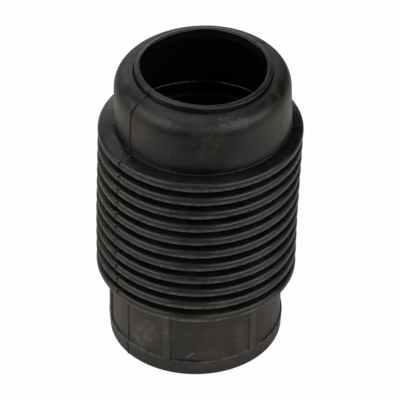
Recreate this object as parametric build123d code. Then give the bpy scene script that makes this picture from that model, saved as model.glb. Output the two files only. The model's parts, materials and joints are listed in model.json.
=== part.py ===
"""Rubber bellows boot: a thin-walled moulded dust boot with a clamp cuff, eleven folds and a domed collar.

The boot stands on its cuff. The origin is the centre of the cuff's foot and +Z is up. All sizes are
millimetres. The whole boot is one moulding that has taken a lean to +X: each fold lies a little further over
than the one below, and the collar lies further over still. So the cuff, each fold and the collar are turned on
upright axes of their own and joined, with the clamp ribs on the cuff.
"""
import os
from math import sqrt

from build123d import *

# ---- cuff: the plain sleeve at the bottom that a band clamp closes onto its housing
cuff_bore_radius = 36.3
cuff_wall = 2.5
cuff_height = 34.4
foot_bevel = 0.5  # on the outer edge of the foot
band_height = 8.0  # raised ring round the foot of the cuff
band_stand = 0.8  # how far the ring and the ribs stand out from the cuff wall
band_draft = 0.4  # the ring is this much slimmer at the foot than at its top
band_slope = 0.3  # height of the small sloping step from the ring back to the wall
rib_count = 6
rib_width = 3.0  # across the crown
rib_side = 1.0  # how far each sloping side runs out before it meets the cuff wall
rib_start_angle = -139.4  # where the mould parts; the ribs are spaced evenly to both sides of it

# ---- bellows: equal folds of even wall, flat-sided with a narrow gap between them
fold_count = 11
fold_pitch = 7.2
fold_depth = 6.8  # from the bottom of a groove out to a crest
fold_wall = 1.5
crest_height = 4.7  # outside height of a fold near its rim
crest_bevel = 1.2
groove_height = 1.2  # open height at the bottom of the groove between two folds
groove_inset = 0.6  # how far the grooves lie inside the cuff's outer wall

# ---- collar: the tapered sleeve above the bellows, closed in by a round shoulder
collar_height = 26.3
collar_wall = 2.6
collar_draft = 0.35  # the collar is this much slimmer at the shoulder than at its base
shoulder_round = 8.0
shoulder_flat = 0.2  # least flat left between the round and the channel when the neck is wide
ceiling_wall = 2.6  # thickness of the turned-in top

# ---- neck: the top hole, with a standing lip that rolls into the bore, and a shallow channel round the lip
neck_bore_radius = 26.9
neck_land = 2.2  # straight length of the bore
neck_flare = 1.0  # bevel that opens the bore into the collar
lip_height = 2.4  # above the flat of the shoulder
lip_round = 0.8  # on the lip's outer edge
lip_flat = 0.2  # level top of the lip
lip_roll = 1.8  # round from the lip's top into the bore
channel_width = 1.2
channel_depth = 0.5

# ---- lean to +X
bellows_lean = 2.4  # of the highest fold; the lowest stands over the cuff and the rest lie evenly between
collar_lean = 3.5  # of the collar and its neck

# ---- levels and radii that follow from the sizes above
cuff_radius = cuff_bore_radius + cuff_wall
band_radius = cuff_radius + band_stand
foot_radius = band_radius - band_draft
groove_radius = cuff_radius - groove_inset
crest_radius = groove_radius + fold_depth
collar_base_radius = cuff_radius
collar_top_radius = collar_base_radius - collar_draft
collar_bore_radius = collar_base_radius - collar_wall
lip_radius = neck_bore_radius + lip_roll + lip_flat + lip_round
channel_radius = lip_radius + channel_width

bellows_top = cuff_height + fold_count * fold_pitch
collar_foot = bellows_top - fold_wall
shoulder_top = bellows_top + collar_height
ceiling_level = shoulder_top - ceiling_wall
lip_top = shoulder_top + lip_height
channel_floor = shoulder_top - channel_depth
land_top = lip_top - lip_roll
land_bottom = land_top - neck_land

outer_round = min(shoulder_round, collar_top_radius - channel_radius - shoulder_flat)
inner_round = max(outer_round - ceiling_wall, 0.5)


def turned(outline, lean=0):
    """A closed outline of (radius, height) points, turned about the upright axis at the given lean."""
    with BuildPart() as ring:
        with BuildSketch(Plane.XZ):
            with BuildLine():
                Polyline(*outline, close=True)
            make_face()
        revolve(axis=Axis.Z)
    return ring.part.moved(Location((lean, 0, 0)))


def cuff():
    """The plain sleeve with the raised ring round its foot."""
    return turned(
        [
            (cuff_bore_radius, 0),
            (foot_radius - foot_bevel, 0),
            (foot_radius, foot_bevel),
            (band_radius, band_height - band_slope),
            (cuff_radius, band_height),
            (cuff_radius, cuff_height),
            (cuff_bore_radius, cuff_height),
        ]
    )


def fold(number):
    """One fold of even wall, counted from the cuff up, with half of the groove on each side of it.

    The lowest fold starts from the cuff, and the highest ends at the foot of the collar.
    """
    bottom = cuff_height + number * fold_pitch
    top = bottom + fold_pitch
    middle = bottom + fold_pitch / 2
    lowest, highest = number == 0, number == fold_count - 1
    rim_radius = crest_radius - crest_bevel
    hollow_radius = crest_radius - fold_wall
    ridge_radius = groove_radius - fold_wall
    half_crest = crest_height / 2
    half_hollow = half_crest - fold_wall
    half_side = (fold_pitch - groove_height) / 2
    half_ridge = half_side - fold_wall
    if lowest:
        outside_start = [(cuff_radius, bottom)]
        inside_end = [(cuff_bore_radius, bottom + fold_wall), (cuff_bore_radius, bottom)]
    else:
        outside_start = [(groove_radius, bottom), (groove_radius, middle - half_side)]
        inside_end = [(ridge_radius, middle - half_ridge), (ridge_radius, bottom)]
    if highest:
        outside_end = [(collar_base_radius, top)]
        inside_start = [(collar_bore_radius, top), (collar_bore_radius, collar_foot)]
    else:
        outside_end = [(groove_radius, middle + half_side), (groove_radius, top)]
        inside_start = [(ridge_radius, top), (ridge_radius, middle + half_ridge)]
    return turned(
        [
            *outside_start,
            (rim_radius, middle - half_crest),
            (crest_radius, middle - half_crest + crest_bevel),
            (crest_radius, middle + half_crest - crest_bevel),
            (rim_radius, middle + half_crest),
            *outside_end,
            *inside_start,
            (hollow_radius, middle + half_hollow),
            (hollow_radius, middle - half_hollow),
            *inside_end,
        ],
        lean=bellows_lean * number / (fold_count - 1),
    )


def collar():
    """The sleeve above the folds, with its round shoulder and lipped neck. Its foot stands in the highest fold."""
    roll_radius = neck_bore_radius + lip_roll
    with BuildPart() as ring:
        with BuildSketch(Plane.XZ):
            with BuildLine():
                wall = Polyline(
                    (collar_base_radius, collar_foot),
                    (collar_base_radius, bellows_top),
                    (collar_top_radius, shoulder_top - outer_round),
                )
                shoulder = CenterArc(
                    (collar_top_radius - outer_round, shoulder_top - outer_round), outer_round, 0, 90
                )
                channel = Polyline(
                    shoulder @ 1,
                    (channel_radius, shoulder_top),
                    (channel_radius, channel_floor),
                    (lip_radius, channel_floor),
                    (lip_radius, lip_top - lip_round),
                )
                edge = CenterArc((lip_radius - lip_round, lip_top - lip_round), lip_round, 0, 90)
                Line(edge @ 1, (roll_radius, lip_top))
                roll = CenterArc((roll_radius, land_top), lip_roll, 90, 90)
                Polyline(
                    roll @ 1,
                    (neck_bore_radius, land_bottom),
                    (neck_bore_radius + neck_flare, ceiling_level),
                    (collar_bore_radius - inner_round, ceiling_level),
                )
                ceiling = CenterArc(
                    (collar_bore_radius - inner_round, ceiling_level - inner_round), inner_round, 90, -90
                )
                Polyline(ceiling @ 1, (collar_bore_radius, collar_foot), wall @ 0)
            make_face()
        revolve(axis=Axis.Z)
    return ring.part.moved(Location((collar_lean, 0, 0)))


def clamp_rib(angle):
    """One upright rib of the cuff with sloping sides, at the given angle, from the ring into the lowest fold."""
    root_radius = cuff_radius - cuff_wall / 2
    half_crown = rib_width / 2
    half_root = half_crown + rib_side * (band_radius - root_radius) / band_stand
    crown_corner = sqrt(band_radius**2 - half_crown**2)
    bottom = band_height - band_slope
    top = cuff_height + fold_wall / 2
    with BuildPart() as rib:
        with BuildSketch(Plane.XY.offset(bottom)):
            with BuildLine():
                ThreePointArc((crown_corner, -half_crown), (band_radius, 0), (crown_corner, half_crown))
                Polyline(
                    (crown_corner, half_crown),
                    (root_radius, half_root),
                    (root_radius, -half_root),
                    (crown_corner, -half_crown),
                )
            make_face()
        extrude(amount=top - bottom)
    return rib.part.rotate(Axis.Z, angle)


def bellows_boot():
    """The whole boot as one solid."""
    boot = cuff()
    for number in range(fold_count):
        boot += fold(number)
    boot += collar()
    for number in range(rib_count):
        boot += clamp_rib(rib_start_angle + (number + 0.5) * 360 / rib_count)
    return boot


os.makedirs("parts", exist_ok=True)
export_step(bellows_boot(), "parts/bellows_boot.step")
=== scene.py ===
"""Rubber bellows boot: the moulded skin, its rubber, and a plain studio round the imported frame.

The boot is one moulding, so one closed skin stands for the one CAD node. The skin is a wall section carried
once round the axis. Section sizes are in millimetres, and the mesh is written in metres.
"""

import json
import logging
import math
from abc import ABC, abstractmethod
from dataclasses import dataclass, field
from enum import Enum
from typing import Union

import bpy
import numpy as np
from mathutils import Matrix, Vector


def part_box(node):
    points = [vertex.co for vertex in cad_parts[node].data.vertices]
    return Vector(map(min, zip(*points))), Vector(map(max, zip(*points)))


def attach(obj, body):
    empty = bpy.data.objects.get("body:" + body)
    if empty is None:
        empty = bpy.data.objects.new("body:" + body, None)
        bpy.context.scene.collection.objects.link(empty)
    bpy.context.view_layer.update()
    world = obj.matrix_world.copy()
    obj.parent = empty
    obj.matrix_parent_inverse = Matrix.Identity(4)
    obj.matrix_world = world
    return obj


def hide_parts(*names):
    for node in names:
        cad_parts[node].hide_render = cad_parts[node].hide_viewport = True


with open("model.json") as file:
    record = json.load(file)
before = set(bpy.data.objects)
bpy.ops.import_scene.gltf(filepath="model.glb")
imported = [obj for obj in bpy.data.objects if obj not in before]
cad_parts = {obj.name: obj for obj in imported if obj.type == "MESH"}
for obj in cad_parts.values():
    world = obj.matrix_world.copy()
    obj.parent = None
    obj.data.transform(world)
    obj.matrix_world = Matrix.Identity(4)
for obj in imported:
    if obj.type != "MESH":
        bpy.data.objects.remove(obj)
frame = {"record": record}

LOG = logging.getLogger("bellows_boot")
NODE = "bellows_boot"
BODY = "root"

MM = 0.001
FULL_TURN = 2 * math.pi
TINY = 1e-9

Triple = tuple[float, float, float]
Span = tuple[float, float]
Row = tuple[float, ...]
Socket = bpy.types.NodeSocket
Value = Union[bpy.types.NodeSocket, float, tuple[float, ...]]  # what an input takes


def smooth_step(value: np.ndarray) -> np.ndarray:
    """Rises from 0 to 1 as value goes from 0 to 1, level at both ends: 3v^2 - 2v^3."""
    share = np.clip(value, 0.0, 1.0)
    return share * share * (3.0 - 2.0 * share)


def ramp(value: np.ndarray, span: Span) -> np.ndarray:
    """Rises smoothly from 0 at the span's start to 1 at its end, which may be the lower of the two."""
    start, end = span
    return smooth_step((value - start) / (end - start))


def short_way(turns: np.ndarray) -> np.ndarray:
    """Brings angles to within half a turn of zero, either way."""
    return (turns + math.pi) % FULL_TURN - math.pi


def arc_from(turns: np.ndarray, centres: np.ndarray, radius: np.ndarray) -> np.ndarray:
    """Arc distance from the nearest of several upright lines on the skin.

    Args:
        turns: angles round the axis.
        centres: the lines' angles.
        radius: radius at each row of the section.

    Returns:
        An array of rows by angles, signed, in millimetres.
    """
    away = short_way(turns[None, :] - centres[:, None])
    nearest = away[np.abs(away).argmin(axis=0), np.arange(turns.size)]
    return nearest[None, :] * radius[:, None]


def outer_rows(outline: np.ndarray) -> np.ndarray:
    """Marks the rows of the section from the foot's inner edge up to the top of the lip."""
    return np.arange(len(outline)) <= int(outline[:, 1].argmax())


def carried_round(values: np.ndarray, columns: int) -> np.ndarray:
    """Repeats one value a row along a number of columns."""
    return np.repeat(values[:, None], columns, axis=1)


def grid_normals(grid: np.ndarray) -> np.ndarray:
    """Works out the normals of a grid of points that closes both ways.

    The normal at a point is the sum of the area vectors of the four quads round it, so that broad faces stay
    flat and only the rounded edges turn.

    Args:
        grid: the points, rows by columns.

    Returns:
        Unit normals in the same layout.
    """
    right, up = np.roll(grid, -1, axis=1), np.roll(grid, -1, axis=0)
    area = np.cross(np.roll(up, -1, axis=1) - grid, up - right)
    area = area + np.roll(area, 1, axis=0)
    area = area + np.roll(area, 1, axis=1)
    return area / np.linalg.norm(area, axis=-1)[..., None]


@dataclass(frozen=True)
class FrameSizes:
    """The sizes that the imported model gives, in millimetres."""

    crest_radius: float
    height: float
    neck_bore_radius: float
    cuff_bore_radius: float

    @classmethod
    def read(cls) -> "FrameSizes":
        """Reads the box of the CAD node and the radii of its two bore mounts.

        Returns:
            The sizes that the skin is built from.
        """
        low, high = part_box(NODE)
        bores = {mount["name"]: mount["dims"].get("r_mm") for mount in frame["record"]["mounts"]}
        return cls(
            crest_radius=(high.y - low.y) / 2 / MM,
            height=high.z / MM,
            neck_bore_radius=bores["neck_bore"],
            cuff_bore_radius=bores["cuff_bore"],
        )


@dataclass(frozen=True)
class Corner:
    """One corner of the wall section, with how far and how finely it is rounded."""

    radius: float
    height: float
    rounding: float = 0.0
    points: int = 4


@dataclass(frozen=True)
class Cuff:
    """The sleeve at the foot, with a raised ring round its end and upright ribs as proud as the ring."""

    bore_radius: float
    wall: float = 2.5
    height: float = 34.4
    ring_height: float = 8.0
    stand: float = 0.8  # of the ring and the ribs
    ring_draft: float = 0.4  # how much slimmer the ring is at the foot than at its top
    ring_slope: float = 0.3  # height of the step from the ring back to the sleeve
    foot_round: float = 0.55
    ring_round: float = 0.35
    root_round: float = 0.7
    bore_round: float = 0.5
    rib_count: int = 6
    rib_width: float = 3.0  # across the crown
    rib_side: float = 0.46  # width of each side
    rib_rise: float = 1.0  # how far the ribs run up past the sleeve into the lowest fold
    side_columns: int = 5
    side_overrun: float = 0.15  # how far these columns run past a side, as a share of its width

    @property
    def radius(self) -> float:
        """Outer radius of the plain sleeve."""
        return self.bore_radius + self.wall

    @property
    def ring_radius(self) -> float:
        """Outer radius of the raised ring at its top edge."""
        return self.radius + self.stand

    def outside(self) -> list[Corner]:
        """Lays out the corners up the outside.

        Returns:
            The corners from the inner edge of the foot to the lowest fold.
        """
        return [
            Corner(self.bore_radius, 0.0, self.foot_round),
            Corner(self.ring_radius - self.ring_draft, 0.0, self.foot_round),
            Corner(self.ring_radius, self.ring_height - self.ring_slope, self.ring_round),
            Corner(self.radius, self.ring_height, self.root_round),
            Corner(self.radius, self.height, self.root_round),
        ]

    def inside(self, fold_wall: float) -> list[Corner]:
        """The one corner inside, where the bore meets the wall of the lowest fold."""
        return [Corner(self.bore_radius, self.height + fold_wall, self.bore_round)]

    def rib_rows(self, outline: np.ndarray) -> np.ndarray:
        """Marks the rows that the ribs stand on, from the ring's top edge to just inside the lowest fold.

        Args:
            outline: the section's points.

        Returns:
            One truth value a row.
        """
        radius, height = outline.T
        low, high = self.ring_height - self.ring_slope, self.height + self.rib_rise
        return outer_rows(outline) & (height > low) & (height < high) & (radius < self.ring_radius)

    def rib_share(self, arc: np.ndarray) -> np.ndarray:
        """How far a rib stands out: level across its crown, falling smoothly over each side."""
        return smooth_step((self.rib_width / 2 + self.rib_side - np.abs(arc)) / self.rib_side)

    def rib_columns(self) -> np.ndarray:
        """Works out where columns of the skin follow the two sides of a rib.

        Returns:
            Arc distances from the rib's centre line.
        """
        steps = np.linspace(-self.side_overrun, 1.0 + self.side_overrun, self.side_columns)
        arcs = self.rib_width / 2 + self.rib_side * steps
        return np.concatenate([-arcs, arcs])


@dataclass(frozen=True)
class Bellows:
    """Equal folds of even wall, with rounded rims and a narrow round-bottomed groove between neighbours."""

    crest_radius: float
    groove_radius: float
    base: float
    count: int = 11
    pitch: float = 7.2
    wall: float = 1.5
    rim_height: float = 3.8
    rim_drop: float = 0.45  # how far a rim sits below the middle of its fold
    rim_round: float = 1.8
    rim_points: int = 7
    groove_height: float = 1.2
    groove_round: float = 0.55
    groove_points: int = 3
    hollow_round: float = 0.5
    ridge_round: float = 0.9
    inner_points: int = 2

    @property
    def top(self) -> float:
        """Height of the seat of the collar on the highest fold."""
        return self.base + self.count * self.pitch

    @property
    def half_side(self) -> float:
        """Half the height of a fold at its root, from one groove's edge to the next."""
        return (self.pitch - self.groove_height) / 2

    def middle(self, number: int) -> float:
        """Middle height of a fold, counted from the cuff up."""
        return self.base + (number + 0.5) * self.pitch

    def from_rim(self, height: np.ndarray) -> np.ndarray:
        """How far heights lie above the middle of the rim of the fold that they are in."""
        return (height - self.base) % self.pitch - self.pitch / 2 + self.rim_drop

    def outside(self) -> list[Corner]:
        """Lays out the corners up the outside.

        Returns:
            For each fold the edge of the groove below, the two rim corners and the edge of the groove above.
            The lowest fold has no groove below it, and the highest has none above.
        """
        half_rim = self.rim_height / 2
        corners = []
        for number in range(self.count):
            middle = self.middle(number)
            rim = middle - self.rim_drop
            corners += [
                Corner(self.groove_radius, middle - self.half_side, self.groove_round, self.groove_points),
                Corner(self.crest_radius, rim - half_rim, self.rim_round, self.rim_points),
                Corner(self.crest_radius, rim + half_rim, self.rim_round, self.rim_points),
                Corner(self.groove_radius, middle + self.half_side, self.groove_round, self.groove_points),
            ]
        return corners[1:-1]

    def inside(self) -> list[Corner]:
        """Lays out the corners down the inside, one wall in from the outside.

        Returns:
            For each fold the edge of the ridge above, the hollow's two corners and the edge of the ridge below.
            The highest fold has no ridge above it, and the lowest has none below.
        """
        half_ridge = self.half_side - self.wall
        half_hollow = self.rim_height / 2 - self.wall
        ridge_radius, hollow_radius = self.groove_radius - self.wall, self.crest_radius - self.wall
        corners = []
        for number in reversed(range(self.count)):
            middle = self.middle(number)
            hollow = middle - self.rim_drop
            corners += [
                Corner(ridge_radius, middle + half_ridge, self.ridge_round, self.inner_points),
                Corner(hollow_radius, hollow + half_hollow, self.hollow_round, self.inner_points),
                Corner(hollow_radius, hollow - half_hollow, self.hollow_round, self.inner_points),
                Corner(ridge_radius, middle - half_ridge, self.ridge_round, self.inner_points),
            ]
        return corners[1:-1]


@dataclass(frozen=True)
class Collar:
    """The tapered sleeve above the folds, closed in by a round shoulder."""

    base_radius: float
    base: float
    top: float
    wall: float = 2.6
    draft: float = 0.35
    ceiling: float = 2.6
    shoulder_depth: float = 8.3
    shoulder_height: float = 8.4
    shoulder_power: float = 2.3
    shoulder_points: int = 15
    ceiling_points: int = 6
    foot_round: float = 0.5

    def outside(self) -> list[Corner]:
        """Lays out the corners up the outside: the foot, the sleeve and the shoulder.

        The shoulder is a quarter of a superellipse: the shares of its depth and height, each raised to the
        shoulder's power, add up to one.

        Returns:
            The corners in order.
        """
        turn = np.linspace(0.0, math.pi / 2, self.shoulder_points)
        depth = self.shoulder_depth * np.cos(turn) ** (2 / self.shoulder_power)
        rise = self.shoulder_height * np.sin(turn) ** (2 / self.shoulder_power)
        centre_radius = self.base_radius - self.draft - self.shoulder_depth
        centre_height = self.top - self.shoulder_height
        return [
            Corner(self.base_radius, self.base, self.foot_round),
            *(Corner(centre_radius + d, centre_height + h) for d, h in zip(depth, rise)),
        ]

    def inside(self) -> list[Corner]:
        """Lays out the corners down the inside.

        Returns:
            The round under the shoulder, and the foot of the sleeve, half a wall down in the highest fold.
        """
        bore_radius = self.base_radius - self.wall
        ceiling_round = self.shoulder_height - self.ceiling
        return [
            Corner(bore_radius, self.top - self.ceiling, ceiling_round, self.ceiling_points),
            Corner(bore_radius, self.base - self.wall / 2, self.foot_round),
        ]


@dataclass(frozen=True)
class Neck:
    """The top hole: a standing lip that rolls into the bore, a channel round it and a flare below."""

    bore_radius: float
    shoulder_top: float
    lip_top: float
    ceiling_level: float
    lip_width: float = 2.9  # from the bore out to the channel
    lip_round: float = 0.6
    lip_slope: float = 0.3  # how much lower the lip's outer edge is than its crest
    lip_points: int = 6
    crest_inset: float = 1.0  # from the mouth out to the crest
    crest_round: float = 1.6
    mouth_stand: float = 0.55  # how much wider the mouth is than the bore
    mouth_round: float = 0.5
    mouth_depth: float = 3.0
    mouth_points: int = 7
    channel_width: float = 1.0
    channel_depth: float = 1.1
    root_round: float = 0.35
    edge_round: float = 0.3
    land: float = 1.2  # straight length of the bore
    flare: float = 1.6  # how far the bore opens out to the ceiling

    def outside(self) -> list[Corner]:
        """Lays out the corners inwards over the channel and the lip, and down the bore to the ceiling.

        The lip's top slopes down from its crest near the mouth to its outer edge.

        Returns:
            The corners in order.
        """
        lip_radius = self.bore_radius + self.lip_width
        mouth_radius = self.bore_radius + self.mouth_stand
        channel_radius = lip_radius + self.channel_width
        floor = self.shoulder_top - self.channel_depth
        land_top = self.lip_top - self.mouth_depth
        return [
            Corner(channel_radius, self.shoulder_top, self.edge_round),
            Corner(channel_radius, floor, self.edge_round),
            Corner(lip_radius, floor, self.root_round),
            Corner(lip_radius, self.lip_top - self.lip_slope, self.lip_round, self.lip_points),
            Corner(mouth_radius + self.crest_inset, self.lip_top, self.crest_round),
            Corner(mouth_radius, self.lip_top, self.mouth_round, self.mouth_points),
            Corner(self.bore_radius, land_top, self.edge_round),
            Corner(self.bore_radius, land_top - self.land, self.edge_round),
            Corner(self.bore_radius + self.flare, self.ceiling_level, self.edge_round),
        ]


@dataclass(frozen=True)
class Section:
    """The closed wall section, as an outline of points (radius, height) with rounded corners."""

    corners: list[Corner]
    longest_step: float = 6.0
    least_step: float = 1e-4
    side_share: float = 0.499  # the most of a side that the rounding at one of its ends takes

    def outline(self) -> np.ndarray:
        """Rounds every corner and divides the long straight stretches.

        The points of an arc are spread evenly by turning from one end's normal to the other's. A point that
        falls on the one before it is left out.

        Returns:
            An array of points, one row each, in order round the section.
        """
        centre, start, end, turn = self.arcs()
        count = np.array([corner.points for corner in self.corners])
        share = np.minimum(np.arange(count.max())[None, :] / (count[:, None] - 1), 1.0)[..., None]
        sine = np.where(np.abs(np.sin(turn)) < TINY, 1.0, np.sin(turn))[:, None, None]
        turn = turn[:, None, None]
        points = (np.sin((1 - share) * turn) * start[:, None] + np.sin(share * turn) * end[:, None]) / sine
        points = (points + centre[:, None]).reshape(-1, 2)
        moved = np.linalg.norm(points - np.roll(points, 1, axis=0), axis=1) > self.least_step
        return self.divided(points[moved])

    def arcs(self) -> tuple[np.ndarray, np.ndarray, np.ndarray, np.ndarray]:
        """Works out the arc at each corner, tangent to the corner's two sides.

        The tangent length is the rounding over the tangent of half the inner angle, and is at most just under
        half of the shorter side. The centre lies on the bisector, at the radius over the sine of that half
        angle. A corner on a straight line keeps its place.

        Returns:
            For each corner the arc's centre, its two ends seen from there, and the angle it turns through.
        """
        spots = np.array([(corner.radius, corner.height) for corner in self.corners])
        rounding = np.array([corner.rounding for corner in self.corners])
        to_last = np.roll(spots, 1, axis=0) - spots
        to_next = np.roll(spots, -1, axis=0) - spots
        last_length = np.linalg.norm(to_last, axis=1)
        next_length = np.linalg.norm(to_next, axis=1)
        last_way = to_last / last_length[:, None]
        next_way = to_next / next_length[:, None]
        half_angle = np.arccos(np.clip((last_way * next_way).sum(axis=1), -1.0, 1.0)) / 2
        tangent = rounding / np.tan(half_angle)
        tangent = np.minimum(tangent, self.side_share * np.minimum(last_length, next_length))
        bisector = last_way + next_way
        length = np.linalg.norm(bisector, axis=1)
        straight = length < TINY
        reach = np.where(straight, 0.0, tangent * np.tan(half_angle) / np.sin(half_angle))
        centre = spots + bisector * (reach / np.where(straight, 1.0, length))[:, None]
        start = spots + last_way * tangent[:, None] - centre
        end = spots + next_way * tangent[:, None] - centre
        return centre, start, end, np.pi - 2 * half_angle

    def divided(self, points: np.ndarray) -> np.ndarray:
        """Divides each stretch that is longer than the longest step into equal pieces.

        Args:
            points: the closed outline.

        Returns:
            The same outline with the points between added.
        """
        ahead = np.roll(points, -1, axis=0) - points
        pieces = np.ceil(np.linalg.norm(ahead, axis=1) / self.longest_step).astype(int)
        first = np.repeat(np.cumsum(pieces) - pieces, pieces)
        share = (np.arange(pieces.sum()) - first) / np.repeat(pieces, pieces)
        return np.repeat(points, pieces, axis=0) + share[:, None] * np.repeat(ahead, pieces, axis=0)


@dataclass(frozen=True)
class MouldSeam:
    """The line where the mould's two halves met, on opposite sides of the boot.

    It is a narrow crease, deeper and wider across the folds' rims. On some folds a pointed tongue of flash
    hangs from the lower edge of one half, and a nub of flash stands out at the foot. The drift is in degrees
    and goes with the stations up the height, which are shares of it.
    """

    turn: float = math.radians(-139.4)
    stations: Row = (0.0, 0.25, 0.35, 0.45, 0.57, 0.70, 0.795, 0.805, 0.85, 0.89, 0.93, 0.97, 1.0)
    drift: Row = (-1.4, -1.4, -2.7, -4.4, -4.2, -2.5, -1.5, -5.3, -5.0, -4.0, -3.1, -2.6, -3.3)
    drift_reach: float = math.radians(14.0)
    drift_fall: float = 1.5  # how steeply the drift falls to none at its reach
    width: float = 0.32
    depth: float = 0.7
    rim_width: float = 0.42
    rim_depth: float = 0.95
    tongue_folds: tuple[int, int] = (2, 6)
    tongue_reach: float = 1.7
    tongue_drop: float = 1.3
    tongue_edge: Span = (0.22, 0.07)  # arc over which a tongue is cut off past the line
    nub_width: float = 0.5
    nub_height: float = 2.5
    nub_fade: float = 1.0
    nub_stand: float = 0.7  # of which the crease takes up to its depth
    column_steps: Row = (0.12, 0.25, 0.4, 0.65, 1.0, 1.5)

    def centres(self) -> np.ndarray:
        """The angles of the two lines round the axis."""
        return self.turn + np.array([0.0, math.pi])

    def columns(self) -> np.ndarray:
        """Arc distances from a line at which columns of the skin follow the crease."""
        steps = np.array(self.column_steps)
        return np.concatenate([-steps, [0.0], steps])

    def wander(self, turns: np.ndarray, share: np.ndarray) -> np.ndarray:
        """Works out how far the skin round each line is turned, so that the line drifts with the height.

        Args:
            turns: angles round the axis.
            share: height of each row, as a share of the whole.

        Returns:
            Rows by angles, in radians: the drift at the line, falling smoothly to none at its reach.
        """
        away = np.abs(short_way(turns[None, :] - self.centres()[:, None])).min(axis=0)
        near = smooth_step(self.drift_fall * (1.0 - away / self.drift_reach))
        return np.radians(np.interp(share, self.stations, self.drift))[:, None] * near[None, :]

    def crease(self, arc: np.ndarray, rim: np.ndarray) -> np.ndarray:
        """Works out the depth of the crease: a bell curve of the distance from its line.

        Args:
            arc: distance from the line, in millimetres.
            rim: 1 on a fold's rim, where the crease has its rim sizes, and 0 off it.

        Returns:
            How far the skin is pressed in, in millimetres.
        """
        width = self.width + (self.rim_width - self.width) * rim
        depth = self.depth + (self.rim_depth - self.depth) * rim
        return depth * np.exp(-((arc / width) ** 2))

    def tongue(self, arc: np.ndarray, number: np.ndarray) -> np.ndarray:
        """Works out how far the tongues hang: the square of the nearness on one side, cut off past the line.

        Args:
            arc: distance from the line, in millimetres, rows by angles.
            number: the fold that each row is in, counted from the cuff up.

        Returns:
            The drop in millimetres.
        """
        first, last = self.tongue_folds
        near = np.clip(1.0 + arc / self.tongue_reach, 0.0, 1.0) ** 2
        hangs = (number >= first) & (number <= last)
        return self.tongue_drop * near * ramp(arc, self.tongue_edge) * hangs[:, None]

    def nub(self, arc: np.ndarray, height: np.ndarray) -> np.ndarray:
        """Works out how far the nub stands out: a bell curve of the distance, fading up to the nub's height.

        Args:
            arc: distance from the line, in millimetres, rows by angles.
            height: height of each row.

        Returns:
            The stand in millimetres.
        """
        low = smooth_step((self.nub_height - height) / self.nub_fade)
        return self.nub_stand * np.exp(-((arc / self.nub_width) ** 2)) * low[:, None]


@dataclass(frozen=True)
class Lean:
    """The soft boot's own set: it stands true on its foot, and its folds and collar lean to one side.

    Each row of values goes with the stations up the height, which are shares of it. Shifts are in millimetres,
    and the rest in degrees.
    """

    stations: Row = (0.0, 0.10, 0.27, 0.45, 0.62, 0.787, 0.80, 0.95, 0.983, 1.0)
    shift: Row = (0.0, 0.0, 0.25, 0.65, 1.55, 2.4, 3.5, 3.15, 3.4, 3.7)
    side_tilt: Row = (0.0, 0.2, 1.3, 0.75, -0.3, 0.37, -0.7, -0.6, -0.1, 0.2)
    back_tilt: Row = (0.0, 0.0, 0.0, 0.0, 0.0, -0.35, 0.9, 1.1, 1.1, 1.0)
    twist: Row = (0.0, 0.0, 0.0, 0.0, 0.0, 0.0, 0.0, 0.3, 1.2, 1.8)
    swing: Row = (0.0, 0.0, 0.0, 0.0, 0.0, 0.0, 0.0, 0.0, -0.5, -0.8)
    twist_reach: float = 30.0

    def bend(self, points: np.ndarray, height: float) -> np.ndarray:
        """Leans points by what their height says, between stations in straight steps.

        A side tilt lowers the right side and a back tilt raises the rear, each by the tilt's tangent times
        the distance from the axis. A twist takes its share off the side tilt at the rear and adds it at the
        front, and a swing moves the rear sideways by its tangent times the distance behind the axis.

        Args:
            points: an array whose last axis is x, y, z in millimetres.
            height: the boot's height.

        Returns:
            The points, leaned.
        """
        share = points[..., 2] / height
        shift = np.interp(share, self.stations, self.shift)
        side, back, twist, swing = (
            np.radians(np.interp(share, self.stations, angles))
            for angles in (self.side_tilt, self.back_tilt, self.twist, self.swing)
        )
        side = side - twist * points[..., 1] / self.twist_reach
        leaned = points.copy()
        leaned[..., 0] += shift + np.tan(swing) * points[..., 1]
        leaned[..., 2] += -np.tan(side) * points[..., 0] + np.tan(back) * points[..., 1]
        return leaned


class SkinMask(Enum):
    """What a spot of the skin is like. The finish reads each as an attribute of the mesh."""

    EDGE = "edge"
    HOLLOW = "hollow"
    RIM = "rim"
    FOOT = "foot"
    DEEP = "deep"
    CROWN = "crown"
    LIP = "lip"
    RIB = "rib"


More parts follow.
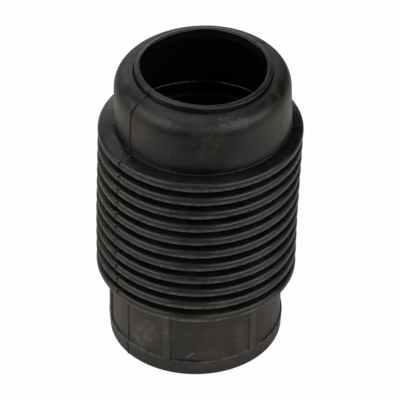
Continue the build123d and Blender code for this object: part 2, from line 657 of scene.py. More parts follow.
@dataclass(frozen=True)
class RowMasks:
    """Works out what each row of the section is like, from 0 to 1.

    A span holds where its mask is 0 and where it is 1. Bends are in radians a millimetre, positive outwards.
    """

    folds: Bellows
    shoulder_top: float
    edge_bend: Span = (0.3, 1.4)
    inner_bend: Span = (0.0, -1.5)
    hollow_inset: Span = (1.0, 3.5)  # inwards of the rims' radius
    hollow_fade: float = 4.0  # past the two ends of the folds
    rim_inset: Span = (2.4, 1.2)
    upper_rim: Span = (0.1, 1.5)  # above the middle of a rim
    # share of a rim's upper half that counts as hollow: smoother, and bare of dust as painted shade
    upper_rim_shade: float = 0.55
    rim_foot: Span = (0.6, -1.2)
    deep_drop: float = 10.0  # below the top of the folds
    crown_rise: Span = (-10.0, -5.0)  # above the flat of the shoulder
    lip_rise: Span = (0.0, 0.8)

    def bend(self, outline: np.ndarray) -> np.ndarray:
        """Works out how sharply the outline bends at each point.

        It is the angle between the stretches before and after the point, over the mean of their lengths.

        Args:
            outline: the section's points.

        Returns:
            The bend of each row.
        """
        ahead = np.roll(outline, -1, axis=0) - outline
        behind = np.roll(ahead, 1, axis=0)
        cross = behind[:, 0] * ahead[:, 1] - behind[:, 1] * ahead[:, 0]
        turn = np.arctan2(cross, (behind * ahead).sum(axis=1))
        return 2 * turn / (np.linalg.norm(ahead, axis=1) + np.linalg.norm(behind, axis=1))

    def masks(self, outline: np.ndarray) -> dict[SkinMask, np.ndarray]:
        """Works out the masks of all the rows.

        The edge mask rises with how sharply the outline bends outwards. The hollow mask is how far a row lies
        inside the rims' radius, fading past the two ends of the folds, or how sharply the outline bends
        inwards, and it takes in a share of the rims' upper halves and all of the inside. The finish keeps dust
        and warmth off what the hollow mask holds, so that it renders darker as painted shade. The rim mask is 1
        at the folds' crests, and the foot mask at a crest's lower edge, which the finish lightens as a painted
        highlight. The deep mask is 1 inside, well below the top of the folds. The crown mask rises over the
        shoulder, and the lip mask over the lip.

        Args:
            outline: the section's points.

        Returns:
            One value a row for each mask.
        """
        radius, height = outline.T
        outer, bend = outer_rows(outline), self.bend(outline)
        inset, from_rim = self.folds.crest_radius - radius, self.folds.from_rim(height)
        rim = ramp(inset, self.rim_inset) * outer
        beyond = np.maximum(np.maximum(height - self.folds.top, self.folds.base - height), 0.0)
        hollow = np.interp(inset, self.hollow_inset, (0.0, 1.0))
        hollow = hollow * np.clip(1.0 - beyond / self.hollow_fade, 0.0, 1.0)
        hollow = np.where(outer, np.maximum(hollow, ramp(bend, self.inner_bend)), 1.0)
        hollow = np.maximum(hollow, self.upper_rim_shade * rim * ramp(from_rim, self.upper_rim))
        return {
            SkinMask.EDGE: ramp(bend, self.edge_bend) * outer,
            SkinMask.HOLLOW: hollow,
            SkinMask.RIM: rim,
            SkinMask.FOOT: rim * ramp(from_rim, self.rim_foot),
            SkinMask.DEEP: (~outer & (height < self.folds.top - self.deep_drop)).astype(float),
            SkinMask.CROWN: ramp(height - self.shoulder_top, self.crown_rise) * outer,
            SkinMask.LIP: ramp(height - self.shoulder_top, self.lip_rise),
        }


@dataclass
class BootSkin:
    """The whole moulding as one closed skin."""

    sizes: FrameSizes
    seam: MouldSeam = field(default_factory=MouldSeam)
    lean: Lean = field(default_factory=Lean)
    lip_height: float = 2.4  # above the flat of the shoulder
    groove_inset: float = 0.6  # how far the grooves lie inside the cuff's outer radius
    crease_seat: float = 0.2  # the crease no longer fades with the slope from this far above the folds
    plain_columns: int = 144

    def __post_init__(self) -> None:
        """Works out the sub-assemblies from the frame's sizes."""
        self.cuff = Cuff(self.sizes.cuff_bore_radius)
        groove_radius = self.cuff.radius - self.groove_inset
        self.bellows = Bellows(self.sizes.crest_radius, groove_radius, self.cuff.height)
        shoulder_top = self.sizes.height - self.lip_height
        self.collar = Collar(self.cuff.radius, self.bellows.top, shoulder_top)
        self.neck = Neck(
            self.sizes.neck_bore_radius,
            shoulder_top,
            self.sizes.height,
            shoulder_top - self.collar.ceiling,
        )

    def section(self) -> Section:
        """Puts the closed section together: up the outside, over the lip, and down the inside.

        Returns:
            The section.
        """
        return Section(
            [
                *self.cuff.outside(),
                *self.bellows.outside(),
                *self.collar.outside(),
                *self.neck.outside(),
                *self.collar.inside(),
                *self.bellows.inside(),
                *self.cuff.inside(self.bellows.wall),
            ]
        )

    def rib_turns(self) -> np.ndarray:
        """The ribs' angles round the axis: evenly spaced, with the mould seam midway between two."""
        return self.seam.turn + (np.arange(self.cuff.rib_count) + 0.5) * FULL_TURN / self.cuff.rib_count

    def columns(self) -> np.ndarray:
        """Works out the angles of the columns: even ones, and close ones at the ribs' sides and the seam.

        Even columns within a quarter of their spacing of a close one are left out.

        Returns:
            The angles in rising order, within one turn.
        """
        spacing = FULL_TURN / self.plain_columns
        even = np.arange(self.plain_columns) * spacing
        at_ribs = self.rib_turns()[:, None] + self.cuff.rib_columns() / self.cuff.radius
        at_seam = self.seam.centres()[:, None] + self.seam.columns() / self.sizes.crest_radius
        close = np.concatenate([at_ribs.ravel(), at_seam.ravel()]) % FULL_TURN
        gap = np.abs(short_way(even[:, None] - close[None, :])).min(axis=1)
        return np.sort(np.concatenate([even[gap > spacing / 4], close]))

    def points(self) -> tuple[np.ndarray, dict[SkinMask, np.ndarray]]:
        """Carries the section round the axis and lays the ribs and the mould seam on it.

        Each point is (radius cos turn, radius sin turn, height). A rib raises the sleeve's radius towards the
        ring's by its share.

        Returns:
            The grid of points in millimetres, rows by columns, and the masks of the same grid.
        """
        outline = self.section().outline()
        turns = self.columns()
        rows = RowMasks(self.bellows, self.collar.top).masks(outline)
        rib = self.cuff.rib_share(arc_from(turns, self.rib_turns(), np.array([self.cuff.radius])))
        rib = rib * self.cuff.rib_rows(outline)[:, None]
        radius, height = (carried_round(values, turns.size) for values in outline.T)
        radius = radius + np.maximum(self.cuff.ring_radius - radius, 0.0) * rib
        outwards, upwards = self.seam_shift(outline, turns, rows)
        radius, height = radius + outwards, height + upwards
        turned = turns + self.seam.wander(turns, outline[:, 1] / self.sizes.height)
        grid = np.stack([radius * np.cos(turned), radius * np.sin(turned), height], axis=-1)
        masks = {mask: carried_round(values, turns.size) for mask, values in rows.items()}
        masks[SkinMask.RIB] = rib
        return self.lean.bend(grid, self.sizes.height), masks

    def seam_shift(
        self, outline: np.ndarray, turns: np.ndarray, rows: dict[SkinMask, np.ndarray]
    ) -> tuple[np.ndarray, np.ndarray]:
        """Works out how the mould seam moves the skin.

        The crease is pressed in square to the skin, and on the folds it fades as the skin lies flatter. The
        tongues lower the foot of a rim, and the nub raises the radius.

        Args:
            outline: the section's points.
            turns: angles round the axis.
            rows: the masks of the rows.

        Returns:
            How far each point goes outwards and upwards, rows by angles.
        """
        radius, height = outline.T
        outer = outer_rows(outline)
        along = np.roll(outline, -1, axis=0) - np.roll(outline, 1, axis=0)
        along /= np.linalg.norm(along, axis=1)[:, None]
        below_seat = height < self.bellows.top + self.crease_seat
        upright = np.where(below_seat, np.abs(along[:, 1]), 1.0) * outer
        crease = self.seam.crease(arc_from(turns, self.seam.centres(), radius), rows[SkinMask.RIM][:, None])
        crease = crease * upright[:, None]
        front_arc = arc_from(turns, self.seam.centres()[:1], radius)
        number = np.floor((height - self.bellows.base) / self.bellows.pitch)
        tongue = self.seam.tongue(front_arc, number) * rows[SkinMask.FOOT][:, None]
        nub = self.seam.nub(front_arc, height) * (outer & (radius > self.cuff.radius))[:, None]
        return nub - along[:, 1:] * crease, along[:, :1] * crease - tongue

    def build(self) -> bpy.types.Object:
        """Makes the skin's mesh: quads between neighbouring rows and columns, closed both ways.

        Returns:
            The mesh object, in metres, at the origin.
        """
        grid, masks = self.points()
        rows, columns = grid.shape[:2]
        index = np.arange(rows * columns).reshape(rows, columns)
        right = np.roll(index, -1, axis=1)
        up = np.roll(index, -1, axis=0)
        across = np.roll(up, -1, axis=1)
        faces = np.stack([index, right, across, up], axis=-1).reshape(-1, 4)
        mesh = bpy.data.meshes.new("boot_skin")
        mesh.from_pydata((grid.reshape(-1, 3) * MM).tolist(), [], faces.tolist())
        for mask, values in masks.items():
            attribute = mesh.attributes.new(mask.value, "FLOAT", "POINT")
            attribute.data.foreach_set("value", values.astype(np.float32).ravel())
        mesh.polygons.foreach_set("use_smooth", np.ones(len(faces), dtype=bool))
        mesh.update()
        mesh.normals_split_custom_set_from_vertices(grid_normals(grid).reshape(-1, 3))
        boot = bpy.data.objects.new("boot_skin", mesh)
        bpy.context.scene.collection.objects.link(boot)
        LOG.info("boot skin: %d rows, %d columns, %d triangles", rows, columns, 2 * len(faces))
        return boot


class Nodes:
    """Adds and wires the nodes of one node tree."""

    def __init__(self, tree: bpy.types.NodeTree) -> None:
        """Keeps the tree that the nodes go into."""
        self.tree = tree

    def add(self, kind: str, **settings: object) -> bpy.types.Node:
        """Adds a node.

        Args:
            kind: the node's type, without its ShaderNode prefix.
            settings: its properties by name.

        Returns:
            The node.
        """
        node = self.tree.nodes.new("ShaderNode" + kind)
        for name, value in settings.items():
            setattr(node, name, value)
        return node

    def feed(self, node: bpy.types.Node, values: dict[Union[int, str], Value]) -> bpy.types.Node:
        """Links sockets into a node's inputs, or sets the inputs to constants.

        Args:
            node: the node.
            values: what each input gets, by the input's name or number.

        Returns:
            The same node.
        """
        for key, value in values.items():
            if isinstance(value, bpy.types.NodeSocket):
                self.tree.links.new(value, node.inputs[key])
            else:
                node.inputs[key].default_value = value
        return node

    def math(self, operation: str, first: Value, second: Value, clamp: bool = False) -> Socket:
        """Works out a value from two others, kept from 0 to 1 when it is clamped."""
        node = self.add("Math", operation=operation, use_clamp=clamp)
        return self.feed(node, {0: first, 1: second}).outputs[0]

    def vector(self, operation: str, first: Value, second: Value, result: str = "Vector") -> Socket:
        """Works out a vector, or a value, from two vectors."""
        node = self.add("VectorMath", operation=operation)
        return self.feed(node, {0: first, 1: second}).outputs[result]

    def between(self, value: Value, low: Value, high: Value) -> Socket:
        """Rises softly from 0 to 1 as the value goes from low to high, which may be the lower of the two."""
        node = self.add("MapRange", interpolation_type="SMOOTHSTEP")
        return self.feed(node, {0: value, 1: low, 2: high}).outputs["Result"]

    def mix(self, share: Value, first: Value, second: Value) -> Socket:
        """Mixes two colours by a share."""
        node = self.add("Mix", data_type="RGBA")
        return self.feed(node, {"Factor": share, "A": first, "B": second}).outputs["Result"]

    def weighted_sum(self, start: float, *parts: tuple[Socket, float]) -> Socket:
        """Adds masks, each times its weight, onto a starting value.

        Args:
            start: the starting value.
            parts: each mask with its weight.

        Returns:
            The sum.
        """
        total: Value = start
        for mask, weight in parts:
            node = self.add("Math", operation="MULTIPLY_ADD")
            total = self.feed(node, {0: mask, 1: weight, 2: total}).outputs[0]
        return total


@dataclass(frozen=True)
class MaskGroup(ABC):
    """A node group that is built once. It takes vectors and numbers by name, and puts out one mask."""

    name: str
    vectors: tuple[str, ...]
    numbers: tuple[str, ...]

    @abstractmethod
    def mask(self, nodes: Nodes, given: bpy.types.NodeOutputs) -> Socket:
        """Works out the mask from the group's inputs."""

    def tree(self) -> bpy.types.NodeTree:
        """Gives the group's node tree, which the first call builds.

        Returns:
            The tree.
        """
        if self.name in bpy.data.node_groups:
            return bpy.data.node_groups[self.name]
        tree = bpy.data.node_groups.new(self.name, "ShaderNodeTree")
        for kind, names in (("NodeSocketVector", self.vectors), ("NodeSocketFloat", self.numbers)):
            for name in names:
                tree.interface.new_socket(name=name, in_out="INPUT", socket_type=kind)
        tree.interface.new_socket(name="Mask", in_out="OUTPUT", socket_type="NodeSocketFloat")
        mask = self.mask(Nodes(tree), tree.nodes.new("NodeGroupInput").outputs)
        tree.links.new(mask, tree.nodes.new("NodeGroupOutput").inputs["Mask"])
        return tree

    def place(self, nodes: Nodes, values: dict[str, Value]) -> Socket:
        """Places the group among a material's nodes, feeds its inputs by name and gives its mask."""
        return nodes.feed(nodes.add("Group", node_tree=self.tree()), values).outputs["Mask"]


@dataclass(frozen=True)
class PatchGroup(MaskGroup):
    """Soft-edged patches of a chosen size."""

    name: str = "patches"
    vectors: tuple[str, ...] = ("Vector",)
    numbers: tuple[str, ...] = ("Size", "Detail", "Low", "High")
    noise_roughness: float = 0.6

    def mask(self, nodes: Nodes, given: bpy.types.NodeOutputs) -> Socket:
        """Builds noise of the given size in millimetres, mapped softly from low to high.

        Args:
            nodes: the group's nodes.
            given: the group's inputs.

        Returns:
            The mask.
        """
        scale = nodes.math("DIVIDE", 1.0, given["Size"])
        values = {"Vector": given["Vector"], "Scale": scale, "Detail": given["Detail"]}
        noise = nodes.feed(nodes.add("TexNoise"), {**values, "Roughness": self.noise_roughness})
        return nodes.between(noise.outputs["Fac"], given["Low"], given["High"])


@dataclass(frozen=True)
class MarkGroup(MaskGroup):
    """A straight mark of a given width between two points, with a soft edge."""

    name: str = "mark"
    vectors: tuple[str, ...] = ("Vector", "Start", "End")
    numbers: tuple[str, ...] = ("Width", "Softness")

    def mask(self, nodes: Nodes, given: bpy.types.NodeOutputs) -> Socket:
        """Builds a mask that is 1 within the width of the line from start to end, falling softly to 0 past it.

        The nearest point of the line is its start plus the line times the share of the way along. That share
        is the dot product of the line and the way from its start, over the line's squared length, kept from 0
        to 1.

        Args:
            nodes: the group's nodes.
            given: the group's inputs.

        Returns:
            The mask.
        """
        way = nodes.vector("SUBTRACT", given["Vector"], given["Start"])
        line = nodes.vector("SUBTRACT", given["End"], given["Start"])
        dot = nodes.vector("DOT_PRODUCT", way, line, "Value")
        square = nodes.vector("DOT_PRODUCT", line, line, "Value")
        share = nodes.math("DIVIDE", dot, square, clamp=True)
        nearest = nodes.feed(nodes.add("VectorMath", operation="SCALE"), {"Vector": line, "Scale": share})
        away = nodes.vector("DISTANCE", way, nearest.outputs["Vector"], "Value")
        return nodes.between(away, nodes.math("ADD", given["Width"], given["Softness"]), given["Width"])


@dataclass(frozen=True)
class Patches:
    """One layer of patches: size in millimetres, detail of the noise, and the levels of none and full."""

    size: float
    detail: float
    low: float
    high: float


class SkinNodes(Nodes):
    """The nodes of a finish on the skin, which also read the place on it, its masks and layers of patches."""

    def __init__(self, tree: bpy.types.NodeTree) -> None:
        """Reads the place on the skin from the object's coordinates, in millimetres.

        Args:
            tree: the material's node tree.
        """
        super().__init__(tree)
        values = {"Vector": self.add("TexCoord").outputs["Object"], "Scale": (1 / MM, 1 / MM, 1 / MM)}
        self.place = self.feed(self.add("Mapping"), values).outputs["Vector"]

    def mask(self, mask: SkinMask) -> Socket:
        """Reads one of the skin's masks."""
        return self.add("Attribute", attribute_type="GEOMETRY", attribute_name=mask.value).outputs["Fac"]

    def patches(self, layer: Patches) -> Socket:
        """Lays a layer of patches over the skin."""
        values = {"Size": layer.size, "Detail": layer.detail, "Low": layer.low, "High": layer.high}
        return PatchGroup().place(self, {"Vector": self.place, **values})


def opaque(colour: Triple) -> tuple[float, float, float, float]:
    """A colour as a socket takes it."""
    return (*colour, 1.0)


class MarkKind(Enum):
    """What a mark does to the rubber."""

    # scuffed patches of dust; some on the shoulder are partly a painted highlight
    SCUFF_AND_SHEEN = "scuff"
    SCRATCH = "scratch"
    PIT = "pit"
    STAIN = "stain"


@dataclass(frozen=True)
class Mark:
    """One mark of use, from start to end in millimetres, with its half width, soft edge and strength."""

    kind: MarkKind
    start: Triple
    end: Triple
    width: float
    softness: float
    strength: float = 1.0


@dataclass(frozen=True)
class DustShares:
    """How strongly the dust shows that each cause leaves, from 0 to 1."""

    mottle: float = 0.03
    bloom: float = 0.06
    # edge wear, and a painted highlight on the rims' lower edges
    wear_and_rim_foot_highlight: float = 0.8
    rib: float = 0.10
    fleck: float = 0.9
    # weights all scuffed patches, including those on the shoulder that are partly a painted highlight
    scuff: float = 0.65
    scratch: float = 0.55


@dataclass(frozen=True)
class RoughnessTerms:
    """The roughness of clean, open skin, and what each cause adds to it."""

    open_skin: float = 0.35
    hollow: float = -0.11
    crown: float = 0.08
    lip: float = -0.15
    deep: float = 0.4
    mottle: float = 0.10
    haze: float = 0.03
    rim_haze: float = 0.12
    dust: float = 0.27
    cleaned: float = -0.10


@dataclass(frozen=True)
class SharedMasks:
    """The masks that more than one of the rubber's colour, roughness and relief follow."""

    # 1 on open skin; the hollows, kept bare of dust and warmth, are painted shade
    open_unshaded: Socket
    mottle: Socket
    cleaned: Socket
    marks: dict[MarkKind, Socket]


@dataclass(frozen=True)
class BlackRubber:
    """Moulded black rubber: fine grain, a faint warm bloom, dusty flecks, worn edges and marks of use, with
    painted highlights on the rims' lower edges and on scuffed patches of the shoulder, and painted shade in the
    hollows.
    """

    colour: Triple = (0.0038, 0.0037, 0.0035)
    warm_colour: Triple = (0.0100, 0.0074, 0.0056)
    dust_colour: Triple = (0.150, 0.147, 0.142)
    dust: DustShares = DustShares()
    roughness: RoughnessTerms = RoughnessTerms()
    warmth: Patches = Patches(26.0, 2.0, 0.40, 0.66)
    haze: Patches = Patches(19.0, 3.0, 0.40, 0.60)
    bloom: Patches = Patches(13.0, 3.0, 0.48, 0.62)
    fleck_clusters: Patches = Patches(7.0, 2.0, 0.45, 0.62)
    mottle: Patches = Patches(3.4, 4.0, 0.46, 0.72)
    # breaks up the edge wear and the painted highlight on the rims' lower edges
    worn_and_lit_spots: Patches = Patches(2.2, 3.0, 0.34, 0.66)
    scuff_and_sheen_breaks: Patches = Patches(1.8, 3.0, 0.36, 0.62)
    flecks: Patches = Patches(0.9, 2.0, 0.60, 0.74)
    cluster_share: float = 0.5  # how strongly flecks show in a cluster, against those on a rib
    crown_wear_loss: float = 0.8
    dents: Patches = Patches(3.2, 2.0, 0.25, 0.75)
    dent_depth: float = 0.045
    grain: Patches = Patches(0.5, 2.0, 0.3, 0.7)
    grain_depth: float = 0.010
    cut_depth: float = 0.12  # of scratches and pits
    wander_scale: float = 0.9
    wander_detail: float = 2.0
    marks: tuple[Mark, ...] = (
        Mark(MarkKind.SCRATCH, (-4.0, -38.6, 9.8), (-0.9, -38.8, 12.4), 0.28, 0.25),
        Mark(MarkKind.SCRATCH, (-0.9, -38.8, 12.4), (9.0, -37.7, 12.1), 0.12, 0.2, 0.5),
        Mark(MarkKind.SCRATCH, (35.9, -16.0, 137.8), (33.7, -20.8, 137.2), 0.15, 0.2, 0.8),
        Mark(MarkKind.SCUFF_AND_SHEEN, (-25.5, -29.3, 12.0), (-21.5, -32.3, 22.0), 2.0, 5.0, 0.55),
        Mark(MarkKind.SCUFF_AND_SHEEN, (22.0, -31.9, 9.5), (21.0, -32.6, 20.0), 2.0, 3.5, 0.30),
        # The three scuffed patches below sit where the shoulder's highlights fall: partly dust, partly a
        # painted highlight.
        Mark(MarkKind.SCUFF_AND_SHEEN, (12.0, -34.0, 138.3), (21.0, -33.0, 136.2), 1.0, 2.6, 0.45),
        Mark(MarkKind.SCUFF_AND_SHEEN, (-19.0, -31.5, 137.8), (-12.0, -34.5, 137.0), 0.8, 2.2, 0.30),
        Mark(MarkKind.SCUFF_AND_SHEEN, (-29.5, 4.0, 139.4), (-30.5, -9.0, 139.0), 1.0, 2.2, 0.35),
        Mark(MarkKind.SCUFF_AND_SHEEN, (11.0, -43.4, 110.5), (13.4, -42.8, 110.5), 0.3, 0.6, 0.8),
        Mark(MarkKind.SCUFF_AND_SHEEN, (-5.0, -44.5, 73.0), (-2.5, -44.7, 73.8), 0.25, 0.5, 0.8),
        Mark(MarkKind.STAIN, (36.0, -6.0, 138.8), (37.0, -13.0, 137.6), 1.2, 1.6),
        Mark(MarkKind.STAIN, (33.5, -21.5, 137.0), (34.0, -17.5, 138.2), 0.8, 1.4),
        Mark(MarkKind.PIT, (-26.3, -15.0, 139.2), (-26.5, -14.8, 139.2), 0.35, 0.35),
        Mark(MarkKind.PIT, (-29.3, -21.0, 113.6), (-28.4, -22.4, 112.9), 0.5, 0.5),
        Mark(MarkKind.PIT, (-3.4, -44.6, 82.6), (-3.2, -44.7, 80.6), 0.18, 0.2),
    )

    def material(self) -> bpy.types.Material:
        """Builds the node material: the colour, roughness and relief all follow the same dust and marks, which
        also carry painted highlights and painted shade.

        Returns:
            The material.
        """
        material = bpy.data.materials.new("moulded_black_rubber")
        material.use_nodes = True
        nodes = SkinNodes(material.node_tree)
        marks = self.mark_masks(nodes)
        shared = SharedMasks(
            # dust and warmth show only on open skin, so the hollows stay darker as painted shade
            open_unshaded=nodes.math("SUBTRACT", 1.0, nodes.mask(SkinMask.HOLLOW)),
            mottle=nodes.patches(self.mottle),
            cleaned=nodes.math("MAXIMUM", marks[MarkKind.STAIN], marks[MarkKind.PIT]),
            marks=marks,
        )
        dust = self.dust_mask(nodes, shared)
        warmth = nodes.math("MULTIPLY", nodes.patches(self.warmth), shared.open_unshaded)
        ground = nodes.mix(warmth, opaque(self.colour), opaque(self.warm_colour))
        surface = {
            "Base Color": nodes.mix(dust, ground, opaque(self.dust_colour)),
            "Roughness": self.roughness_value(nodes, shared, dust),
            "Normal": self.relief(nodes, shared),
        }
        nodes.feed(material.node_tree.nodes["Principled BSDF"], surface)
        return material

    def mark_masks(self, nodes: SkinNodes) -> dict[MarkKind, Socket]:
        """Gathers the marks of each kind, on a place that noise moves a little, so that none is dead straight.

        Args:
            nodes: the material's nodes.

        Returns:
            For each kind, the strongest of its marks at each point.
        """
        values = {"Vector": nodes.place, "Scale": self.wander_scale, "Detail": self.wander_detail}
        wander = nodes.feed(nodes.add("TexNoise"), values)
        offset = nodes.vector("SUBTRACT", wander.outputs["Color"], (0.5, 0.5, 0.5))
        moved = nodes.vector("ADD", nodes.place, offset)
        masks: dict[MarkKind, Value] = {kind: 0.0 for kind in MarkKind}
        for mark in self.marks:
            line = {"Start": mark.start, "End": mark.end, "Width": mark.width, "Softness": mark.softness}
            shape = MarkGroup().place(nodes, {"Vector": moved, **line})
            shown = nodes.math("MULTIPLY", shape, mark.strength)
            masks[mark.kind] = nodes.math("MAXIMUM", masks[mark.kind], shown)
        return masks

    def dust_mask(self, nodes: SkinNodes, shared: SharedMasks) -> Socket:
        """Works out the dust: settled on open skin, and in scuffed patches and scratches, less what is cleaned.
        It also paints light and shade.

        Open skin leaves out the hollows, the inside and the rims' upper halves, which stay darker as painted
        shade. Worn edges and the rims' lower edges are broken into spots, fainter round the crown; on the rims'
        lower edges the lightening is a painted highlight. Some scuffed patches on the shoulder are partly a
        painted highlight. Flecks lie all over the ribs and in clusters elsewhere.

        Args:
            nodes: the material's nodes.
            shared: the shared masks.

        Returns:
            The share of the dust's colour, from 0 to 1.
        """
        # edges carry wear; the rims' lower edges (feet) carry a painted highlight
        edges = nodes.math("MAXIMUM", nodes.mask(SkinMask.EDGE), nodes.mask(SkinMask.FOOT))
        spots = nodes.math("MULTIPLY", edges, nodes.patches(self.worn_and_lit_spots))
        off_crown = nodes.weighted_sum(1.0, (nodes.mask(SkinMask.CROWN), -self.crown_wear_loss))
        clusters = nodes.math("MULTIPLY", nodes.patches(self.fleck_clusters), self.cluster_share)
        fleck_ground = nodes.math("MAXIMUM", clusters, nodes.mask(SkinMask.RIB))
        settled = nodes.weighted_sum(
            0.0,
            (shared.mottle, self.dust.mottle),
            (nodes.patches(self.bloom), self.dust.bloom),
            (nodes.math("MULTIPLY", spots, off_crown), self.dust.wear_and_rim_foot_highlight),
            (nodes.mask(SkinMask.RIB), self.dust.rib),
            (nodes.math("MULTIPLY", nodes.patches(self.flecks), fleck_ground), self.dust.fleck),
        )
        scuffs_and_sheen = nodes.math("MULTIPLY", shared.marks[MarkKind.SCUFF_AND_SHEEN], nodes.patches(self.scuff_and_sheen_breaks))
        total = nodes.weighted_sum(
            0.0,
            (nodes.math("MULTIPLY", settled, shared.open_unshaded), 1.0),
            (scuffs_and_sheen, self.dust.scuff),
            (shared.marks[MarkKind.SCRATCH], self.dust.scratch),
        )
        return nodes.math("MULTIPLY", total, nodes.math("SUBTRACT", 1.0, shared.cleaned), clamp=True)

    def roughness_value(self, nodes: SkinNodes, shared: SharedMasks, dust: Socket) -> Socket:
        """Works out the roughness: hollows and the lip are smoother, and haze dulls the rims most.

        Args:
            nodes: the material's nodes.
            shared: the shared masks.
            dust: the share of dust.

        Returns:
            The roughness.
        """
        haze = nodes.math("MULTIPLY", nodes.patches(self.haze), shared.open_unshaded)
        return nodes.weighted_sum(
            self.roughness.open_skin,
            (nodes.mask(SkinMask.HOLLOW), self.roughness.hollow),
            (nodes.mask(SkinMask.CROWN), self.roughness.crown),
            (nodes.mask(SkinMask.LIP), self.roughness.lip),
            (nodes.mask(SkinMask.DEEP), self.roughness.deep),
            (shared.mottle, self.roughness.mottle),
            (haze, self.roughness.haze),
            (nodes.math("MULTIPLY", haze, nodes.mask(SkinMask.RIM)), self.roughness.rim_haze),
            (dust, self.roughness.dust),
            (shared.cleaned, self.roughness.cleaned),
        )

    def relief(self, nodes: SkinNodes, shared: SharedMasks) -> Socket:
        """Stacks the bumps: soft dents, scratches and pits pressed in, and the fine grain on top.

        Args:
            nodes: the material's nodes.
            shared: the shared masks.

        Returns:
            The normal.
        """
        cuts = nodes.math("MAXIMUM", shared.marks[MarkKind.SCRATCH], shared.marks[MarkKind.PIT])
        below: dict[str, Socket] = {}
        for height, depth in (
            (nodes.patches(self.dents), self.dent_depth),
            (nodes.math("SUBTRACT", 1.0, cuts), self.cut_depth),
            (nodes.patches(self.grain), self.grain_depth),
        ):
            bump = nodes.feed(nodes.add("Bump"), {"Height": height, "Distance": depth * MM, **below})
            below = {"Normal": bump.outputs["Normal"]}
        return below["Normal"]


def white_to_camera(
    tree: bpy.types.NodeTree, lit: bpy.types.Node, white: bpy.types.Node, output: str, share: float
) -> None:
    """Shows the camera a share of plain white, and all other rays what is lit.

    Args:
        tree: the node tree of a material or of the world.
        lit: the node that light and reflections see.
        white: the node that is plain white.
        output: name of the tree's output node.
        share: how much of what the camera sees is white.
    """
    nodes = Nodes(tree)
    seen = nodes.math("MULTIPLY", nodes.add("LightPath").outputs["Is Camera Ray"], share)
    mix = nodes.feed(nodes.add("MixShader"), {0: seen, 1: lit.outputs[0], 2: white.outputs[0]})
    nodes.feed(tree.nodes[output], {"Surface": mix.outputs[0]})


@dataclass(frozen=True)
class Softbox:
    """A soft studio light that faces the boot. Its bearing runs from the front to the right, in degrees."""

    name: str
    bearing: float
    elevation: float
    distance: float
    size: tuple[float, float]
    radiance: float
    colour: Triple = (1.0, 1.0, 1.0)

    def build(self, aim: Vector) -> None:
        """Makes a rectangular area light whose power is its radiance times pi times its area.

        Args:
            aim: the point that the light faces.
        """
        light = bpy.data.lights.new(self.name, "AREA")
        light.shape = "RECTANGLE"
        light.size, light.size_y = self.size
        light.energy = self.radiance * math.pi * self.size[0] * self.size[1]
        light.color = self.colour
        bearing, elevation = math.radians(self.bearing), math.radians(self.elevation)
        level = math.cos(elevation)
        away = Vector((math.sin(bearing) * level, -math.cos(bearing) * level, math.sin(elevation)))
        lamp = bpy.data.objects.new(self.name, light)
        lamp.location = aim + away * self.distance
        lamp.rotation_euler = away.to_track_quat("Z", "Y").to_euler()
        bpy.context.scene.collection.objects.link(lamp)


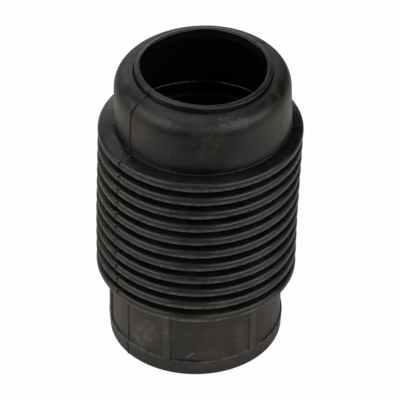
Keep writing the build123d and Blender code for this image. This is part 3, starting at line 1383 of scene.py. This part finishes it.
@dataclass(frozen=True)
class Studio:
    """The floor, the surroundings, the lights and the camera.

    The softboxes stand one on each side of the camera, one overhead, and a high and a low one behind. Lengths
    are in metres, and those of the lens and its sensor in millimetres.
    """

    elevation: float = math.radians(38.175)
    distance: float = 1.2231
    aim: Triple = (0.00204, 0.0, 0.06924)
    lens: float = 247.0
    sensor: float = 36.0
    floor_size: float = 6.0
    floor_front: float = 0.2
    floor_colour: Triple = (0.92, 0.875, 0.825)
    floor_roughness: float = 0.9
    floor_white: float = 0.97  # share of plain white in what the camera sees of the floor, the rest is lit
    surround: Triple = (0.02, 0.02, 0.02)
    softboxes: tuple[Softbox, ...] = (
        Softbox("right_softbox", 52.5, 30.0, 1.5, (1.94, 0.95), 2.7, (1.0, 0.985, 0.965)),
        Softbox("left_softbox", -67.5, 30.0, 1.5, (1.94, 0.95), 2.5, (1.0, 0.965, 0.915)),
        Softbox("top_softbox", 270.0, 81.7, 1.3, (0.8, 0.8), 1.4),
        Softbox("rear_high_softbox", 190.0, 54.0, 1.8, (0.5, 0.8), 1.7),
        Softbox("rear_low_softbox", 187.5, 20.0, 1.8, (2.1, 0.45), 2.05),
    )

    def build(self) -> None:
        """Sets up the camera, the surroundings, the floor and the lights."""
        bpy.context.scene.view_settings.view_transform = "Standard"
        self.build_camera()
        self.build_world()
        self.build_floor()
        for softbox in self.softboxes:
            softbox.build(Vector(self.aim))

    def build_camera(self) -> None:
        """Places the camera in front, above, looking down at the aim point."""
        data = bpy.data.cameras.new("camera")
        data.lens = self.lens
        data.sensor_width = self.sensor
        camera = bpy.data.objects.new("camera", data)
        away = Vector((0.0, -math.cos(self.elevation), math.sin(self.elevation)))
        camera.location = Vector(self.aim) + away * self.distance
        camera.rotation_euler = (math.pi / 2 - self.elevation, 0.0, 0.0)
        bpy.context.scene.collection.objects.link(camera)
        bpy.context.scene.camera = camera

    def build_world(self) -> None:
        """Makes the surroundings: white to the camera, and a dark grey as light."""
        world = bpy.data.worlds.new("surroundings")
        bpy.context.scene.world = world
        world.use_nodes = True
        lit = world.node_tree.nodes["Background"]
        lit.inputs["Color"].default_value = opaque(self.surround)
        white = world.node_tree.nodes.new("ShaderNodeBackground")
        white.inputs["Color"].default_value = (1.0, 1.0, 1.0, 1.0)
        white_to_camera(world.node_tree, lit, white, "World Output", 1.0)

    def build_floor(self) -> None:
        """Makes the pale floor. The camera sees it nearly white, with a faint shadow of the boot.

        The sheet ends a little way in front of the boot, so that the front walls reflect the dark
        surroundings past its edge.
        """
        half, front = self.floor_size / 2, -self.floor_front
        mesh = bpy.data.meshes.new("floor")
        corners = [(-half, front, 0), (half, front, 0), (half, half, 0), (-half, half, 0)]
        mesh.from_pydata(corners, [], [(0, 1, 2, 3)])
        floor = bpy.data.objects.new("floor", mesh)
        bpy.context.scene.collection.objects.link(floor)
        material = bpy.data.materials.new("pale_floor")
        material.use_nodes = True
        lit = material.node_tree.nodes["Principled BSDF"]
        lit.inputs["Base Color"].default_value = opaque(self.floor_colour)
        lit.inputs["Roughness"].default_value = self.floor_roughness
        white = material.node_tree.nodes.new("ShaderNodeEmission")
        white_to_camera(material.node_tree, lit, white, "Material Output", self.floor_white)
        mesh.materials.append(material)


def main() -> None:
    """Builds the studio and the boot."""
    logging.basicConfig(level=logging.INFO, format="%(name)s: %(message)s")
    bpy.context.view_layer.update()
    Studio().build()
    boot = BootSkin(FrameSizes.read()).build()
    boot.data.materials.append(BlackRubber().material())
    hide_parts(NODE)
    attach(boot, BODY)
    LOG.info("boot skin rides on %s and replaces %s", BODY, NODE)


if __name__ == "__main__":
    main()
